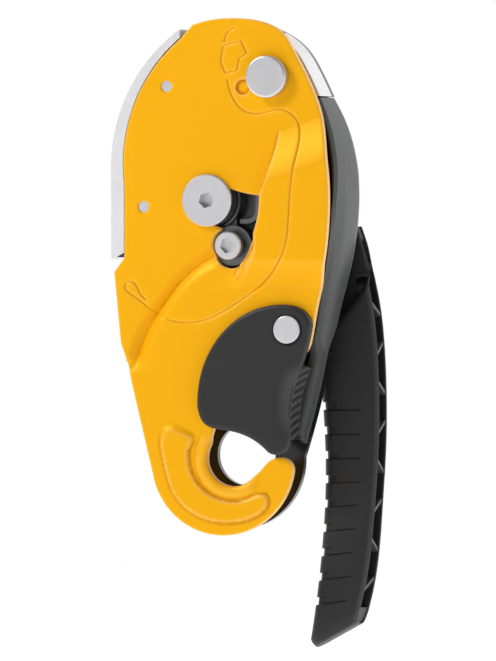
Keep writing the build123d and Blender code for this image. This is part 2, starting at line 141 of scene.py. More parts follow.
def moulded(name, colour, roughness):
    mat, tree, bsdf = shader(name, colour, 0, roughness, specular=0.3)
    tint = blend_colours(tree, noise(tree, 60), colour, tuple(c * 1.25 for c in colour))
    # A much lighter copy of the colour over marked edges and ribs: painted highlight.
    with_highlight = over_colour(tree, "edge", tint, tuple(c * 2.6 + 0.02 for c in colour))
    # A much darker copy over marked pockets, notches and gaps: painted shade.
    shaded = over_colour(tree, "painted_shade", with_highlight, tuple(c * 0.15 for c in colour))
    tree.links.new(shaded, bsdf.inputs["Base Color"])
    grain = ramp(tree, noise(tree, 500), roughness - 0.07, roughness + 0.07)
    tree.links.new(grain, bsdf.inputs["Roughness"])
    bump(tree, bsdf, noise(tree, 1800, 3), 0.00003, 0.6)
    return mat


def gloss_black():
    mat, tree, bsdf = shader("fixed_plate_black", (0.006, 0.006, 0.007), 0, 0.25, coat=0.2)
    tree.links.new(ramp(tree, noise(tree, 300), 0.14, 0.26), bsdf.inputs["Roughness"])
    bump(tree, bsdf, noise(tree, 1200, 2), 0.00001, 0.4)
    return mat


def steel(name, colour, roughness, metallic=1.0):
    mat, tree, bsdf = shader(name, colour, metallic, roughness)
    streaks = noise(tree, 900, 3)
    tree.links.new(ramp(tree, streaks, roughness - 0.08, roughness + 0.12), bsdf.inputs["Roughness"])
    darker = tuple(c * 0.86 for c in colour)
    tree.links.new(blend_colours(tree, noise(tree, 120), darker, colour), bsdf.inputs["Base Color"])
    bump(tree, bsdf, streaks, 0.000012, 0.5)
    return mat


materials = {
    "side_plate_paint": anodised_yellow(),
    "fixed_plate_black": gloss_black(),
    "guard_grey": moulded("guard_grey", (0.080, 0.082, 0.082), 0.45),
    "nylon_black": moulded("nylon_black", (0.019, 0.019, 0.020), 0.45),
    "stainless": steel("stainless", (0.86, 0.86, 0.88), 0.3, metallic=0.5),
    "steel_satin": steel("steel_satin", (0.72, 0.72, 0.74), 0.34, metallic=0.85),
    "cam_steel": steel("cam_steel", (0.20, 0.20, 0.21), 0.42),
    "spring_steel": steel("spring_steel", (0.05, 0.05, 0.052), 0.35),
    "bush_polymer": moulded("bush_polymer", (0.35, 0.33, 0.28), 0.5),
}

for part in frame["record"]["subparts"]:
    mesh = nodes[part["node"]].data
    mesh.materials.clear()
    mesh.materials.append(materials[part["material_slot"]])
# In the photograph the collar is as dark as the cam.
nodes["cam_pin_collar"].data.materials[0] = materials["cam_steel"]


# ---- Curves in the plane of the plates, in millimetres -------------------------------------
plate_pivot = np.array((22.9, 44.1))
gate_pivot = np.array((31.1, -46.3))
hook_seat = np.array((9.7, -92.3))
hook_back = np.array((5.5, -93.0))


def smooth(points, step=0.5):
    """Points along a cubic curve through the given points."""
    knots = np.array(points, float)
    runs = np.diff(knots, axis=0)
    gaps = np.linalg.norm(runs, axis=1)
    place = np.concatenate(([0], np.cumsum(gaps)))
    count = len(place)
    slopes = runs / gaps[:, None]
    first = slopes[0] - (slopes[1] - slopes[0]) * gaps[0] / (gaps[0] + gaps[1])
    last = slopes[-1] + (slopes[-1] - slopes[-2]) * gaps[-1] / (gaps[-1] + gaps[-2])
    table = np.zeros((count, count))
    sides = np.zeros((count, 2))
    table[0, :2] = 2 * gaps[0], gaps[0]
    sides[0] = 6 * (slopes[0] - first)
    table[-1, -2:] = gaps[-1], 2 * gaps[-1]
    sides[-1] = 6 * (last - slopes[-1])
    for k in range(1, count - 1):
        table[k, k - 1:k + 2] = gaps[k - 1], 2 * (gaps[k - 1] + gaps[k]), gaps[k]
        sides[k] = 6 * (slopes[k] - slopes[k - 1])
    bend = np.linalg.solve(table, sides)
    at = np.linspace(0, place[-1], max(2, round(place[-1] / step) + 1))
    k = np.clip(np.searchsorted(place, at, side="right") - 1, 0, count - 2)
    gap = gaps[k][:, None]
    before = (place[k + 1] - at)[:, None]
    after = (at - place[k])[:, None]
    return ((bend[k] * before ** 3 + bend[k + 1] * after ** 3) / (6 * gap)
            + (knots[k] / gap - bend[k] * gap / 6) * before
            + (knots[k + 1] / gap - bend[k + 1] * gap / 6) * after)


def straight(points, step=0.5):
    """Points along straight runs."""
    out = []
    for a, b in zip(points[:-1], points[1:]):
        a, b = np.array(a, float), np.array(b, float)
        steps = max(1, round(np.linalg.norm(b - a) / step))
        out += [a + (b - a) * k / steps for k in range(steps)]
    return np.array(out + [np.array(points[-1], float)])


def arc(centre, radius, start, end, step=0.5):
    """Points on a circle between two angles in degrees."""
    count = max(2, round(abs(math.radians(end - start)) * radius / step) + 1)
    angles = np.radians(np.linspace(start, end, count))
    return np.array(centre) + radius * np.stack((np.cos(angles), np.sin(angles)), axis=1)


def arc_through(a, b, c):
    """Points on the circle from a through b to c."""
    (ax, az), (bx, bz), (cx, cz) = a, b, c
    d = 2 * (ax * (bz - cz) + bx * (cz - az) + cx * (az - bz))
    sa, sb, sc = ax * ax + az * az, bx * bx + bz * bz, cx * cx + cz * cz
    centre = np.array(((sa * (bz - cz) + sb * (cz - az) + sc * (az - bz)) / d,
                       (sa * (cx - bx) + sb * (ax - cx) + sc * (bx - ax)) / d))
    angles = [math.degrees(math.atan2(p[1] - centre[1], p[0] - centre[0])) for p in (a, b, c)]
    if d < 0:
        while angles[2] > angles[0]:
            angles[2] -= 360
    else:
        while angles[2] < angles[0]:
            angles[2] += 360
    return arc(centre, math.dist(a, centre), angles[0], angles[2])


def joined(*curves):
    """One path from several, with no point twice."""
    path = np.concatenate(curves)
    keep = np.ones(len(path), bool)
    keep[1:] = np.linalg.norm(np.diff(path, axis=0), axis=1) > 0.05
    return path[keep]


def beside(path, distance):
    """Path moved sideways, to the right of its direction."""
    along = np.gradient(path, axis=0)
    along /= np.linalg.norm(along, axis=1)[:, None]
    return path + distance * np.stack((along[:, 1], -along[:, 0]), axis=1)


def nearest(path, points, ring=False):
    """How far points lie from a path, signed: positive on the right of its direction."""
    tree = KDTree(len(path))
    for k, (x, z) in enumerate(path):
        tree.insert((x, z, 0), k)
    tree.balance()
    found = np.array([tree.find((x, z, 0))[1] for x, z in points])
    best = np.full(len(points), 1e9)
    sign = np.ones(len(points))
    for step in (-1, 0):
        first = found + step
        if ring:
            a, b = path[first % len(path)], path[(first + 1) % len(path)]
        else:
            first = np.clip(first, 0, len(path) - 2)
            a, b = path[first], path[first + 1]
        run = b - a
        part = np.clip(np.sum((points - a) * run, axis=1) / np.sum(run * run, axis=1), 0, 1)
        off = points - a - run * part[:, None]
        gap = np.linalg.norm(off, axis=1)
        side = np.where(run[:, 0] * off[:, 1] - run[:, 1] * off[:, 0] < 0, 1.0, -1.0)
        closer = gap < best
        best = np.where(closer, gap, best)
        sign = np.where(closer, side, sign)
    return best * sign


def inside(loop, points):
    """Which points lie inside a closed loop."""
    found = np.zeros(len(points), bool)
    x, z = points[:, 0], points[:, 1]
    for a, b in zip(loop, np.roll(loop, -1, axis=0)):
        if a[1] == b[1]:
            continue
        crosses = (a[1] > z) != (b[1] > z)
        found ^= crosses & (x < a[0] + (z - a[1]) * (b[0] - a[0]) / (b[1] - a[1]))
    return found


def ease(value):
    """Smooth step from 0 to 1."""
    value = np.clip(value, 0, 1)
    return value * value * (3 - 2 * value)


# ---- Pieces from meshes -----------------------------------------------------------------------
def new_piece(name, points, faces, slot, body, *replaced, sharp=38, marks=None):
    """Mesh piece from points in millimetres about the main axle.

    marks holds a value for each point: how much painted highlight its edges and ridges get, and how much
    painted shade its hollows get.
    """
    mesh = bpy.data.meshes.new(name)
    mesh.from_pydata(((np.array(points) + axle) * MM).tolist(), [], faces)
    for mark, values in (marks or {}).items():
        mesh.attributes.new(mark, "FLOAT", "POINT").data.foreach_set("value", values)
    mesh.validate()
    mesh.shade_smooth()
    mesh.set_sharp_from_angle(angle=math.radians(sharp))
    mesh.materials.append(materials[slot])
    thing = bpy.data.objects.new(name, mesh)
    bpy.context.collection.objects.link(thing)
    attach(thing, body)
    if replaced:
        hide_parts(*replaced)


def rounded(distance, radius):
    """How deep a rounded rim has sunk at a distance from its edge."""
    part = 1 - np.clip(distance / radius, 0, 1)
    return radius * (1 - np.sqrt(np.clip(1 - part * part, 0, 1)))


def relief(outline, holes, creases, front, back, cell, rim):
    """Closed sheet in the plane of the plates with its own height over every point."""
    loops = [outline, *holes]
    low, high = outline.min(axis=0), outline.max(axis=0)
    rows = np.arange(low[1], high[1], cell * 0.87)
    grid = np.array([(x + (cell / 2 if k % 2 else 0), z) for k, z in enumerate(rows)
                     for x in np.arange(low[0], high[0], cell)])
    grid = grid[inside(outline, grid)]
    for loop in loops:
        if loop is not outline:
            grid = grid[~inside(loop, grid)]
        grid = grid[np.abs(nearest(loop, grid, True)) > rim + cell * 0.4]
    for crease in creases:
        grid = grid[np.abs(nearest(crease, grid)) > cell * 0.45]
    points = [grid]
    links = []
    count = len(grid)
    for path, ring in [(loop, True) for loop in loops] + [(crease, False) for crease in creases]:
        size = len(path)
        last = size if ring else size - 1
        links += [(count + k, count + (k + 1) % size) for k in range(last)]
        points.append(path)
        count += size
    for loop in loops:
        following = np.roll(loop, -1, axis=0)
        anticlockwise = np.sum(loop[:, 0] * following[:, 1] - loop[:, 1] * following[:, 0]) > 0
        inward = -1 if anticlockwise == (loop is outline) else 1
        for part in (0.06, 0.25, 0.55, 1.0):
            row = beside(loop, inward * rim * part)
            off = np.full(len(row), 1e9)
            for other in loops:
                off = np.minimum(off, np.abs(nearest(other, row, True)))
            row = row[off > rim * part * 0.8]
            for crease in creases:
                row = row[np.abs(nearest(crease, row)) > 0.12]
            points.append(row[inside(outline, row)])
    flat = [Vector(p) for p in np.concatenate(points)]
    verts, _, faces, _, _, _ = delaunay_2d_cdt(flat, links, [], 0, 1e-4)
    verts = np.array([tuple(v) for v in verts])
    faces = np.array(faces)
    middles = verts[faces].mean(axis=1)
    keep = inside(outline, middles)
    for hole in holes:
        keep &= ~inside(hole, middles)
    faces = faces[keep]
    used = np.unique(faces)
    number = np.full(len(verts), -1)
    number[used] = np.arange(len(used))
    verts = verts[used]
    faces = number[faces]
    corner = verts[faces]
    area = np.cross(corner[:, 1] - corner[:, 0], corner[:, 2] - corner[:, 0])
    faces[area < 0] = faces[area < 0][:, ::-1]
    edge_gap = np.full(len(verts), 1e9)
    for loop in loops:
        edge_gap = np.minimum(edge_gap, np.abs(nearest(loop, verts, True)))
    heights = front(verts, edge_gap)
    depths = back(verts, edge_gap)
    size = len(verts)
    solid = np.concatenate((np.column_stack((verts[:, 0], heights, verts[:, 1])),
                            np.column_stack((verts[:, 0], depths, verts[:, 1]))))
    sides = {}                  # an edge that only one face has is closed with a wall
    for face in faces.tolist():
        for k in range(3):
            sides[(face[k], face[(k + 1) % 3])] = True
    shape = faces.tolist() + [[c + size, b + size, a + size] for a, b, c in faces.tolist()]
    shape += [[b, a, a + size, b + size] for a, b in sides if (b, a) not in sides]
    return solid, shape


def loft(sections):
    """Closed skin over a row of closed sections that have the same number of points."""
    count = len(sections[0])
    points = np.concatenate(sections)
    faces = []
    for k in range(len(sections) - 1):
        for m in range(count):
            a, b = k * count + m, k * count + (m + 1) % count
            faces.append([a, b, b + count, a + count])
    faces.append(list(range(count))[::-1])
    faces.append([(len(sections) - 1) * count + m for m in range(count)])
    return points, faces


# ---- Moving side plate ------------------------------------------------------------------------
plate_thickness = 2.5
bridge_rise = 4.8
strip_field_depth = 1.4
channel_depth = 2.6
line_depth = 0.28               # engraved lines
line_width = 0.42               # from the middle of a line to its rim
head_front = -2.95              # the sheet's front and back over the bolt heads
head_back = -2.25

# Right edges of the two plates, from the top down.
moving_edge = smooth([(-6, 62.9), (0.5, 64.6), (8, 65.2), (15, 64.9), (21.6, 63.5), (27.6, 60.3),
                      (32.4, 53.4), (36.7, 45.4), (40.4, 37.3), (44.5, 23.2), (46.8, 7),
                      (46.5, -11.7), (44.8, -23.7), (41.9, -34.5), (39.7, -45.7), (38.8, -50.2)])
fixed_edge = smooth([(-6, 61.8), (8, 63.8), (17, 62.8), (23.4, 60.4), (31.9, 54), (36.8, 46.4),
                     (41.3, 37.3), (45.2, 27.1), (48, 0), (44, -34.7), (36.4, -72.8), (30.8, -92)])


def plate_outline():
    seat = arc(hook_seat, 10, 150, 315)
    back = arc(hook_back, 27, -8.5, -163)
    lip = smooth([seat[-1], (20.2, -96.3), (23.4, -93.1), (27.2, -91.9)])
    return joined(
        moving_edge,
        smooth([(38.8, -50.2), (36.4, -55), (31, -58), (22, -57.2), (12, -67), (2.8, -80), seat[0]]),
        seat, lip, arc_through(lip[-1], (31, -93.4), back[0]), back,
        straight([back[-1], (-31.3, -56.2), (-33.2, -51), (-35.7, -25.6), (-31.8, -20.5), (-31.8, 6)]),
        arc_through((-31.8, 6), (-25.9, 39.2), (-10.6, 57.8)),
        straight([(-10.6, 57.8), (-8.8, 59.9), (-6, 62.9)]))[:-1]


def window_outline():
    """Opening over the axle bolt and the cam bolt."""
    crease = straight([(20.0, 2.1), (21.1, 4.7), (21.8, 4.5), (20.9, 1.9)])
    side = smooth([(20.9, 1.9), (20.1, -6.6), (18.1, -13.4), (16.6, -17.6), (14.9, -20.9),
                   (12.2, -23.5), (8.5, -24.4), (4.6, -22.9), (2.3, -19.6), (1.7, -16.1),
                   (2.9, -12.4), (4.9, -10.7)])
    slot_low = arc(plate_pivot, 56.85, -108.4, -117.4)
    slot_end = arc((0, 0), 7.15, 242.6, 62.6)
    slot_high = arc(plate_pivot, 42.55, -117.4, -93.8)
    return joined(slot_high, crease, side, slot_low, slot_end)[:-1]


# Lines on the plate's front: the pressed field, the bridge, the channel, the hook and the engraving.
field_wall = smooth([(-8.6, 66), (-6.8, 60.8), (-1.9, 51.8), (-2.7, 46.8), (-10.2, 25.3), (-13.3, 9.1),
                     (-14.4, -3), (-15.9, -10.2), (-18.2, -14.5), (-25.8, -23.1), (-31.1, -24.2),
                     (-39, -24.6)])
bridge_crease = straight([(26.8, 24.6), (25.2, 16.3), (23.7, 10.9), (22.6, 7.3), (20.4, 1.9)])
bridge_side = joined(bridge_crease, straight([(20.4, 1.9), (19.6, -6.6), (17, -16), (12.5, -25),
                                              (7, -33), (2, -40)]))
slope_line = straight([(26.8, 24.6), (48, 31.7)])
slope_foot = straight([(22.6, 7.3), (47.6, 15.7)])
channel_high = smooth([(2.2, -15.9), (-9.8, -22.8), (-18.6, -33.4), (-27.5, -46.4), (-30.6, -56.1)])
channel_low = smooth([(6.4, -24.5), (-4.7, -30.3), (-11.9, -37.6), (-17.5, -46.4), (-21, -56),
                      (-22.5, -64)])
hook_field = smooth([(-12.5, -79.3), (-17.7, -80.6), (-18.1, -88.9), (-16.4, -96.6), (-13.3, -105.2),
                     (-6.7, -112), (0.3, -115.1), (9.5, -115.8), (17.6, -113.9), (21.8, -111.2),
                     (23.4, -107.8), (22.4, -105.2), (18.6, -105.2), (15.6, -106.4), (10.5, -107.4),
                     (5.4, -106.7), (0.3, -104.5), (-3.2, -101.4), (-5.5, -97.6), (-6.7, -92.8),
                     (-6.5, -88.9), (-4.7, -84.8), (-8.5, -81.6), (-12.5, -79.3)])[:-1]
rope_tail = smooth([(9.9, 61.6), (7.1, 59.4), (6.3, 57.0)])
hand_block = joined(straight([(5.8, 55.2), (12.6, 57.0), (14.8, 52.6), (11.9, 50.6), (11.0, 46.4),
                              (6.6, 45.6), (4.9, 49.8), (5.8, 55.2)]))[:-1]
rope_line = joined(
    smooth([(7.4, 43.0), (8.5, 39.0), (11.8, 33.5), (16.5, 31.1), (22.3, 31.4), (27.4, 32.4),
            (32.1, 30.4), (34.6, 26.7), (35.2, 22.5), (33.8, 11.6), (32.8, 3.8), (32.0, -8.1),
            (30.9, -15.9), (28.1, -22.4), (22.0, -29.2), (14.7, -34.5), (6.4, -39.7), (-1.9, -43.2),
            (-9.8, -43.7), (-17.0, -41.8), (-21.9, -38.7), (-27.0, -34.9), (-30.4, -32.6),
            (-31.5, -31.1), (-31.1, -29.6), (-29.5, -29.0), (-27.8, -29.6), (-25.9, -32.9),
            (-23.6, -35.5)]))
dimple_at = (13.2, 40.5)        # blind dimple beside the block


def head_way(points):
    """1 where the heads of the axle and cam bolts pass under the bridge as the plate swings."""
    x, z = points[:, 0] - plate_pivot[0], points[:, 1] - plate_pivot[1]
    reach, turn = np.hypot(x, z), np.degrees(np.arctan2(z, x))      # about the plate's pivot
    inwards = -nearest(bridge_side, points) + 0.1 + 0.5 * ease((2 - points[:, 1]) / 8)
    under_bridge = ease(inwards / 0.35) * (turn < 0)
    along = ease((turn + 107) / 1.5)
    return ease((reach - 37.6) / 1) * ease((76 - reach) / 7) * along * under_bridge


def plate_front(points):
    """Height of the plate's front face: 0 on its flat, less than 0 towards the viewer."""
    x, z = points[:, 0], points[:, 1]
    into_field = nearest(field_wall, points)        # positive to the left of the wall
    height = strip_field_depth * ease((into_field + 0.9) / 1.8)

    # Bridge over the bolts: it slopes up from the crown, and fades out above the gate.
    down = ((x - 26.8) * 0.317 - (z - 24.6) * 0.948) / 15.1
    past = -nearest(bridge_side, points)
    spread = ease((-11 - z) / 13)
    step = ease(past / (0.5 + 7 * spread) + 0.5 * spread)
    rise = (0.35 * np.clip(down, 0, 1) + 0.65 * ease((down + 0.18) / 1.36)) * (down > -0.18)
    rise = rise * step * (1 - ease((-21 - z) / 11.8))
    height = height - bridge_rise * rise
    height = np.minimum(height, head_front * head_way(points))

    # Channel that leads the rope away to the lower left.
    over, under = -nearest(channel_high, points), nearest(channel_low, points)
    across = over / np.maximum(over + under, 0.1)
    within = (over > 0) & (under > 0) & (x < 6)
    fade = ease((6 - x) / 5) * ease((z + 66) / 14)
    rising = np.clip((1 - across) / 0.6, 0, 1) ** 2
    sunk = np.where(across < 0.4, ease(across / 0.4), rising)
    height = height + np.where(within, channel_depth * sunk * fade, 0)

    # Hook: a raised field round its back, a valley, and a lip along the seat.
    raised = -nearest(hook_field, points, True)
    slope = 1.1 + 3 * ease((z + 88) / 7)
    height = height - 1.0 * ease(raised / slope)
    far = np.hypot(x - hook_seat[0], z - hook_seat[1])
    lip = np.sin(math.pi * np.clip((far - 10.2) / 4.6, 0, 1))
    height = height - 0.7 * lip * ease((-82 - z) / 5) * ease((20 - x) / 5)

    for line, ring in ((rope_line, False), (rope_tail, False), (hand_block, True)):
        off_line = np.abs(nearest(line, points, ring))
        height = height + line_depth * np.clip(1 - off_line / line_width, 0, 1)
    return height + 0.9 * ease((2.8 - np.hypot(x - dimple_at[0], z - dimple_at[1])) / 0.35)


def build_plate():
    rim = 0.55

    def front(points, edge_gap):
        return plate_front(points) + rounded(edge_gap, rim)

    def back(points, edge_gap):
        face = plate_front(points)
        thinned = np.maximum(np.minimum(face + plate_thickness, head_back), face + 0.6)
        return np.where(head_way(points) > 0.98, thinned, face + plate_thickness)

    holes = [window_outline(), arc(plate_pivot, 4.03, 0, 358, 0.4), arc(gate_pivot, 3.0, 0, 357, 0.4),
             arc((-15.7, 40.9), 2.0, 0, 355, 0.3), arc((-24.4, -2.2), 2.0, 0, 355, 0.3)]
    dimple = [arc(dimple_at, r, 0, 360, 0.3) for r in (2.8, 2.45)]
    outline = plate_outline()
    block = np.concatenate((hand_block, hand_block[:1]))
    creases = [line for path in (rope_line, rope_tail, block)
               for line in (path, beside(path, line_width), beside(path, -line_width))]
    creases += [beside(field_wall, step) for step in (-1.8, -0.9, 0, 0.9, 1.8)]
    creases += [bridge_crease, beside(bridge_crease, -0.5), slope_line, slope_foot, channel_high]
    creases += [beside(channel_high, -step) for step in (1.4, 2.8, 3.6, 4.4, 5.6)]
    creases += [channel_low, *dimple]
    creases = [c[inside(outline, c)] for c in creases]
    creases = [c for c in creases if len(c) > 1]
    points, faces = relief(outline, holes, creases, front, back, 0.75, rim)

    # Painted highlight on the edges and ridges, painted shade in the hollows.
    flat = points[:, [0, 2]]
    gap = np.full(len(flat), 1e9)
    for loop in [outline, holes[0]]:
        gap = np.minimum(gap, np.abs(nearest(loop, flat, True)))
    turns = np.linspace(0, 2 * math.pi, 8, endpoint=False)
    ring = [(0.9 * math.cos(t), 0.9 * math.sin(t)) for t in turns]
    around = np.mean([plate_front(flat + step) for step in ring], axis=0)
    in_channel = (nearest(channel_high, flat) < 1) & (nearest(channel_low, flat) > -1) & (flat[:, 0] < 6)
    hollow = (plate_front(flat) - around) / 0.13 * ~in_channel
    painted_highlight = np.maximum(np.clip(1 - gap / 0.4, 0, 1) * 0.75, np.clip(-hollow - 0.12, 0, 1) * 0.22)
    marks = {"edge": painted_highlight, "painted_shade": np.clip(hollow - 0.12, 0, 1) * 0.55}
    new_piece("side_plate_sheet", points, faces, "side_plate_paint", "side_plate", "moving_side_plate",
              marks=marks)


# ---- Gate -------------------------------------------------------------------------------------
gate_front = -3.4
gate_back = -0.3
gate_rim = 1.5
gate_side = smooth([(40, -44.5), (38.6, -51.5), (36.4, -58.6), (33.6, -65.8), (32.2, -72),
                    (31.5, -80.5), (31.8, -85)])
scoop_edge = smooth([(32.6, -57.6), (29.2, -61.8), (26.6, -67.5), (25.6, -75), (26.6, -81.8),
                     (29.6, -86.2)])


def build_gate():
    crown = smooth([(-3.2, -73.5), (2.4, -52.5), (12.8, -41.9), (22.5, -38), (30, -37.4), (36.5, -39.2),
                    (40, -44.5)])
    belly = smooth([gate_side[-1], (30.4, -89.3), (27.4, -91), (23.6, -90.2)])
    foot = smooth([(23.6, -90.2), (17, -85.2), (8, -82.4), (0, -80.4), (-3.2, -73.5)])
    outline = joined(crown, gate_side, belly, foot)[:-1]
    thumb = gate_side[(gate_side[:, 1] < -58.8) & (gate_side[:, 1] > -86)]

    def front(points, edge_gap):
        x, z = points[:, 0], points[:, 1]
        beside_thumb = np.abs(nearest(thumb, points))
        crisp = ease((2.4 - beside_thumb) / 2.0) * ease((-57.6 - z) / 2.4)
        round_edge = rounded(edge_gap, gate_rim) * 0.85 * (1 - crisp) + rounded(edge_gap, 0.3) * crisp
        into = -nearest(scoop_edge, points)
        sunk = 1.9 * ease(into / 7.5) * ease((-56.8 - z) / 5) * ease((z + 88.4) / 4) * (into > 0)
        return gate_front + np.maximum(round_edge, 0) + sunk

    def back(points, edge_gap):
        return np.full(len(points), gate_back)

    holes = [arc(gate_pivot, 4.25, 0, 357, 0.4)]
    creases = [scoop_edge[inside(outline, scoop_edge)]]
    points, faces = relief(outline, holes, creases, front, back, 0.8, gate_rim)
    flat = points[:, [0, 2]]
    faced = points[:, 1] < -1.2
    into = -nearest(scoop_edge, flat)
    # Painted highlight over the scoop and along the front rims; painted shade in a ring round the rivet.
    scooped = ease(into / 5.0) * ease((-58 - flat[:, 1]) / 5) * faced
    rim_highlight = np.clip(1 - np.abs(nearest(outline, flat, True)) / 0.9, 0, 1) * faced
    round_rivet = np.hypot(flat[:, 0] - gate_pivot[0], flat[:, 1] - gate_pivot[1])
    new_piece("gate_cover", points, faces, "nylon_black", "gate", "safety_gate",
              marks={"edge": np.maximum(0.7 * scooped, 0.5 * rim_highlight),
                     "painted_shade": ease((5.9 - round_rivet) / 0.5)})

    # Ribbed wall under the thumb, reaching between the plates.
    rib_pitch = 2.95
    rows = smooth([(36.1, -59.5), (33.6, -65.8), (32.2, -72), (31.5, -80.5), (31.8, -85.6)], 0.28)
    inner = beside(rows, 2.1)
    sections, light, dark = [], [], []
    for out, back_out in zip(rows, inner):
        along = (out - back_out) / np.linalg.norm(out - back_out)
        section = []
        for y in np.linspace(-1.9, 6.3, 22):
            wave = (out[1] + 59.5 - 0.42 * (y + 2)) / rib_pitch
            rib = ease(1.6 * (0.5 + 0.5 * math.cos(2 * math.pi * wave)) - 0.3)
            fade = ease((y + 1.9) / 0.9) * ease((6.5 - y) / 1.2)
            edge = 0.35 * (1 - ease((y + 1.9) / 0.5))
            point = out - along * (0.05 + 0.75 * (1 - rib) * fade + edge - 0.17 * (y + 1.9))
            section.append((point[0], y, point[1]))
            # Rib crests get painted highlight, the gaps between them painted shade.
            light.append(0.9 * float(rib * fade))
            dark.append(0.7 * float((1 - rib) * fade))
        section += [(out[0] + along[0] * 0.9, 6.75, out[1] + along[1] * 0.9),
                    (back_out[0] + along[0] * 0.3, 6.75, back_out[1] + along[1] * 0.3),
                    (back_out[0], 6.4, back_out[1]), (back_out[0], -0.6, back_out[1]),
                    (out[0] - along[0] * 1.2, -1.5, out[1] - along[1] * 1.2)]
        light += [0.0] * 5
        dark += [0.0] * 5
        sections.append(np.array(section))
    points, faces = loft(sections)
    new_piece("gate_thumb_wall", points, faces, "nylon_black", "gate",
              marks={"edge": light, "painted_shade": dark})


# ---- Side guard -------------------------------------------------------------------------------
def build_guard():
    guard_top, guard_foot = 36.9, -87.6
    depth = 2.38                # how far in from the plate's edge the wall reaches
    level = fixed_edge[:, 1]
    edge = fixed_edge[(level <= guard_top) & (level >= guard_foot) & (fixed_edge[:, 0] > 20)]
    along = np.gradient(edge, axis=0)
    along /= np.linalg.norm(along, axis=1)[:, None]
    out = np.stack((-along[:, 1], along[:, 0]), axis=1)
    painted_shade, bright = [], []
    heights = np.array((37, 30, 21, 10, 0, -8, -20, -30, -37, -46, -54, -60, -90))
    backs = np.array((20.4, 23.6, 26.4, 29.0, 29.8, 29.8, 28.4, 25.6, 23.2, 21.2, 16.7, 16.7, 16.7))
    sections = []
    for point, side in zip(edge, out):
        z = point[1]
        low_part = float(ease((-47 - z) / 8))
        front = 3.35 + 5.1 * float(ease((-49.5 - z) / 6.5)) + 7.5 * float(ease((-83.5 - z) / 5))
        back = float(np.interp(-z, -heights, backs))
        moves = []
        shades = []
        for part in np.linspace(0, 1, 25):
            y = front + (back - front) * part
            lean = 2.1 * (1 - ease((y - 3) / 11)) * ease((14 - z) / 40)
            lip = rounded(y - front, 1.1) * 0.9
            tail = rounded(back - y, 1.6) * 0.8
            crown = 0.25 * (1 - math.sin(math.pi * part))
            moves.append((min(lean + lip + tail + crown + 0.03, 2.15), y))
            # Painted shade on the front part of the wall, growing from just below the axle downwards.
            shades.append((1 - float(ease((y - front - 3.4) / 1.6))) * 0.45 * float(ease((-6 - z) / 20)))
        moves += [(depth, y) for y in np.linspace(back - 0.05, front + 2.4, 6)]
        turned = depth + 2.4 * low_part * float(ease((z + 87) / 4))
        moves += [(turned, front + 1.9), (turned, front + 0.5), (turned - 0.3, front + 0.1)]
        # The wall turned in behind the flank gets painted shade; a painted highlight line runs along the
        # back of the flank.
        painted_shade += shades + [0.7] * (len(moves) - len(shades))
        bright += [0.0] * 22 + [0.5, 1.0, 0.6] + [0.0] * (len(moves) - 25)
        sections.append(np.array([(point[0] - side[0] * m, y, point[1] - side[1] * m)
                                  for m, y in moves]))
    points, faces = loft(sections)
    new_piece("flank", points, faces, "guard_grey", "fixed_side", "side_guard",
              marks={"painted_shade": painted_shade, "edge": bright})


# ---- Handle grip ------------------------------------------------------------------------------
grip_front = 24.55
grip_back = 36.95


